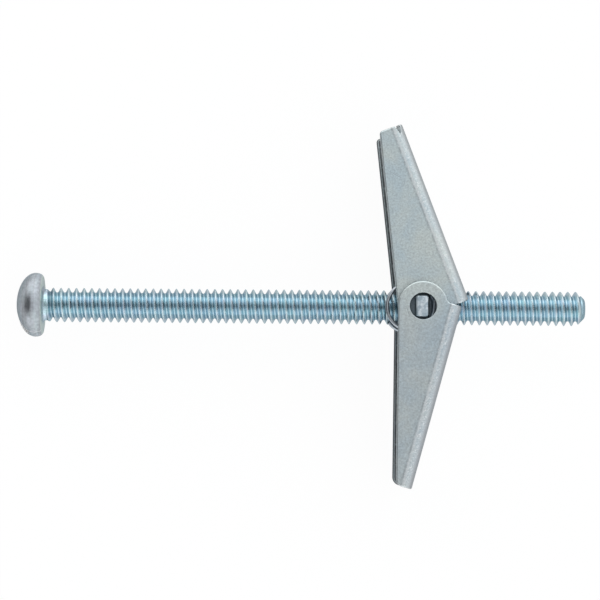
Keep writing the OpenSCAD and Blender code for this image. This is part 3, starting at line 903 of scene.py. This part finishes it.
def make_floor():
    """A white floor that the head's rim and the upper wing's outer flange rest on, so it slopes a little.

    The camera sees an even glow. In reflections the glow depends on the ray: side is 0.5 for one square to
    the screw, and the glow gets dimmer on both sides of that.
    """
    slope = (OUTER_OUT - HEAD_R) / (PIVOT - FLANGE_TOUCH + RIM_H)  # from the head's rim down to the flange
    x = np.array([-FLOOR_HALF, FLOOR_HALF, FLOOR_HALF, -FLOOR_HALF])
    y = np.array([-FLOOR_HALF, -FLOOR_HALF, FLOOR_HALF, FLOOR_HALF])
    z = -HEAD_R - slope * (x + RIM_H)
    floor = new_piece("floor", np.stack([x, y, z], -1), [np.arange(4)])
    paint = bpy.data.materials.new("white floor")
    paint.use_nodes = True
    tree = paint.node_tree
    tree.nodes.clear()
    ray = add(tree, "ShaderNodeLightPath").outputs
    back = part(tree, add(tree, "ShaderNodeNewGeometry").outputs["Incoming"], "X")
    side = times(tree, maths(tree, "ADD", back, 1.0), 0.5)
    shine = ramp(tree, side, (0.1, 0.62), (0.3, 0.8), (0.42, 0.92), (0.58, 0.92), (0.8, 0.6), (0.95, 0.68))
    glossy = times(tree, ray["Is Glossy Ray"], shine)
    seen = maths(tree, "ADD", ray["Is Camera Ray"], ray["Is Glossy Ray"], clamp=True)
    lit = add(tree, "ShaderNodeBsdfDiffuse", {"Color": (FLOOR_GREY, FLOOR_GREY, FLOOR_GREY, 1)}).outputs[0]
    strength = maths(tree, "ADD", times(tree, ray["Is Camera Ray"], FLOOR_GLOW), glossy)
    glow = add(tree, "ShaderNodeEmission", {"Color": WHITE, "Strength": strength}).outputs[0]
    both = add(tree, "ShaderNodeMixShader", {0: times(tree, seen, GLOW_SHARE), 1: lit, 2: glow}).outputs[0]
    add(tree, "ShaderNodeOutputMaterial", {"Surface": both})
    floor.data.materials.append(paint)


def make_light():
    """A light tent and one soft lamp on the upper wing's side.

    The tent's walls are a little brighter to both sides of the screw. It is dimmer straight above, where its
    opening is, and dark in a patch towards the head's side: an ellipse in the direction's Y and Z, by half
    the sum of the squares of its distances over the half widths.
    """
    world = bpy.data.worlds.new("light tent")
    bpy.context.scene.world = world
    world.use_nodes = True
    tree = world.node_tree
    tree.nodes.clear()
    direction = add(tree, "ShaderNodeTexCoord").outputs["Generated"]
    x, y, z = (part(tree, direction, letter) for letter in "XYZ")
    aside = add(tree, "ShaderNodeMath", {0: y, 1: 0.5, 2: 0.5}, operation="MULTIPLY_ADD").outputs[0]
    lower_wall, upper_wall = (0.97, 0.99, 1.0), (1.0, 1.02, 1.03)
    walls = ramp(tree, aside, (0.0, lower_wall), (0.2, lower_wall), (0.375, (0.76, 0.78, 0.80)),
                 (0.5, (0.66, 0.67, 0.69)), (0.625, (0.78, 0.80, 0.82)), (0.8, upper_wall), (1.0, upper_wall))
    opening = ramp(tree, z, (0.25, 1.16), (0.7, 1.0), (0.9, 1.0), (0.935, 0.65), (0.965, 0.5), (1.0, 0.46))
    wide = maths(tree, "ABSOLUTE", maths(tree, "DIVIDE", y, SPOT_HALF_Y))
    tall = maths(tree, "ABSOLUTE", maths(tree, "DIVIDE", maths(tree, "SUBTRACT", z, SPOT_Z), SPOT_HALF_Z))
    spot = maths(tree, "ADD", maths(tree, "POWER", wide, 2.0), maths(tree, "POWER", tall, 2.0))
    spot = ramp(tree, times(tree, spot, 0.5), (0.25, 0.03), (0.6, 1.0))
    spot = maths(tree, "MAXIMUM", spot, maths(tree, "GREATER_THAN", x, SPOT_X))
    dim = mix(tree, 1.0, spot, ramp(tree, x, (0.8, 1.0), (0.96, 0.75)), "MULTIPLY")
    tent = mix(tree, 1.0, mix(tree, 1.0, walls, opening, "MULTIPLY"), dim, "MULTIPLY")
    ray = add(tree, "ShaderNodeLightPath").outputs["Is Camera Ray"]
    shown = mix(tree, ray, tent, (BACKDROP_GREY, BACKDROP_GREY, BACKDROP_GREY, 1))
    back = add(tree, "ShaderNodeBackground", {"Color": shown, "Strength": TENT_GLOW})
    add(tree, "ShaderNodeOutputWorld", {"Surface": back.outputs[0]})
    lamp = bpy.data.lights.new("soft lamp", "AREA")
    lamp.shape, lamp.energy = "RECTANGLE", LAMP_POWER
    lamp.size, lamp.size_y = LAMP_SIZE
    held = bpy.data.objects.new("soft lamp", lamp)
    held.matrix_world = Matrix.Translation(LAMP_AT) @ Matrix.Rotation(LAMP_TILT, 4, "X")
    bpy.context.scene.collection.objects.link(held)


# ---------------------------------------------------------------- build
bpy.context.scene.view_settings.view_transform = "Standard"
make_camera()
zinc = zinc_group()
screw_zinc = metal("bright zinc on the screw", pale=(0.66, 0.78, 0.83), deep=(0.54, 0.68, 0.76),
                   rough=(0.18, 0.34), specks=0.45, scratches=0.2, bump=0.5, rim=(0.55, 0.62, 0.66),
                   touch=screw_touch)
wing_zinc = metal("satin zinc on the wings", pale=(0.70, 0.765, 0.75), deep=(0.605, 0.705, 0.745),
                  rough=(0.42, 0.56), specks=0.15, scratches=0.6, bump=0.4, rim=(0.6, 0.6, 0.62),
                  touch=sheet_touch)
nut_zinc = metal("dull zinc on the nut", pale=(0.36, 0.42, 0.46), deep=(0.24, 0.30, 0.35),
                 rough=(0.35, 0.5), specks=0.1, scratches=0.3, bump=0.4, rim=(0.6, 0.6, 0.62),
                 touch=nut_touch)
spring_zinc = metal("zinc on the wire", pale=(0.56, 0.6, 0.64), deep=(0.42, 0.48, 0.53),
                    rough=(0.25, 0.4), specks=0.1, scratches=0.2, bump=0.3, rim=(0.6, 0.6, 0.62))

pieces = [
    (machine_screw(), screw_zinc, "screw", "screw", "machine_screw"),
    (trunnion_nut(), nut_zinc, "nut", "nut", "trunnion_nut"),
    (Wing(**UPPER, flip=False).build("wing_upper"), wing_zinc, "upper", "wings", "upper_wing"),
    (Wing(**LOWER, flip=True).build("wing_lower"), wing_zinc, "lower", "wings", "lower_wing"),
]
for piece, finish, body, slot, node in pieces:
    piece.data.materials.append(finish)
    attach(piece, body)
    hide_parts(node)
coils, lower_legs, upper_legs = torsion_spring()
for piece in (coils, lower_legs, upper_legs):
    piece.data.materials.append(spring_zinc)
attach(coils, "nut")
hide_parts("torsion_spring")
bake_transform(lower_legs)
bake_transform(upper_legs)

make_floor()
make_light()
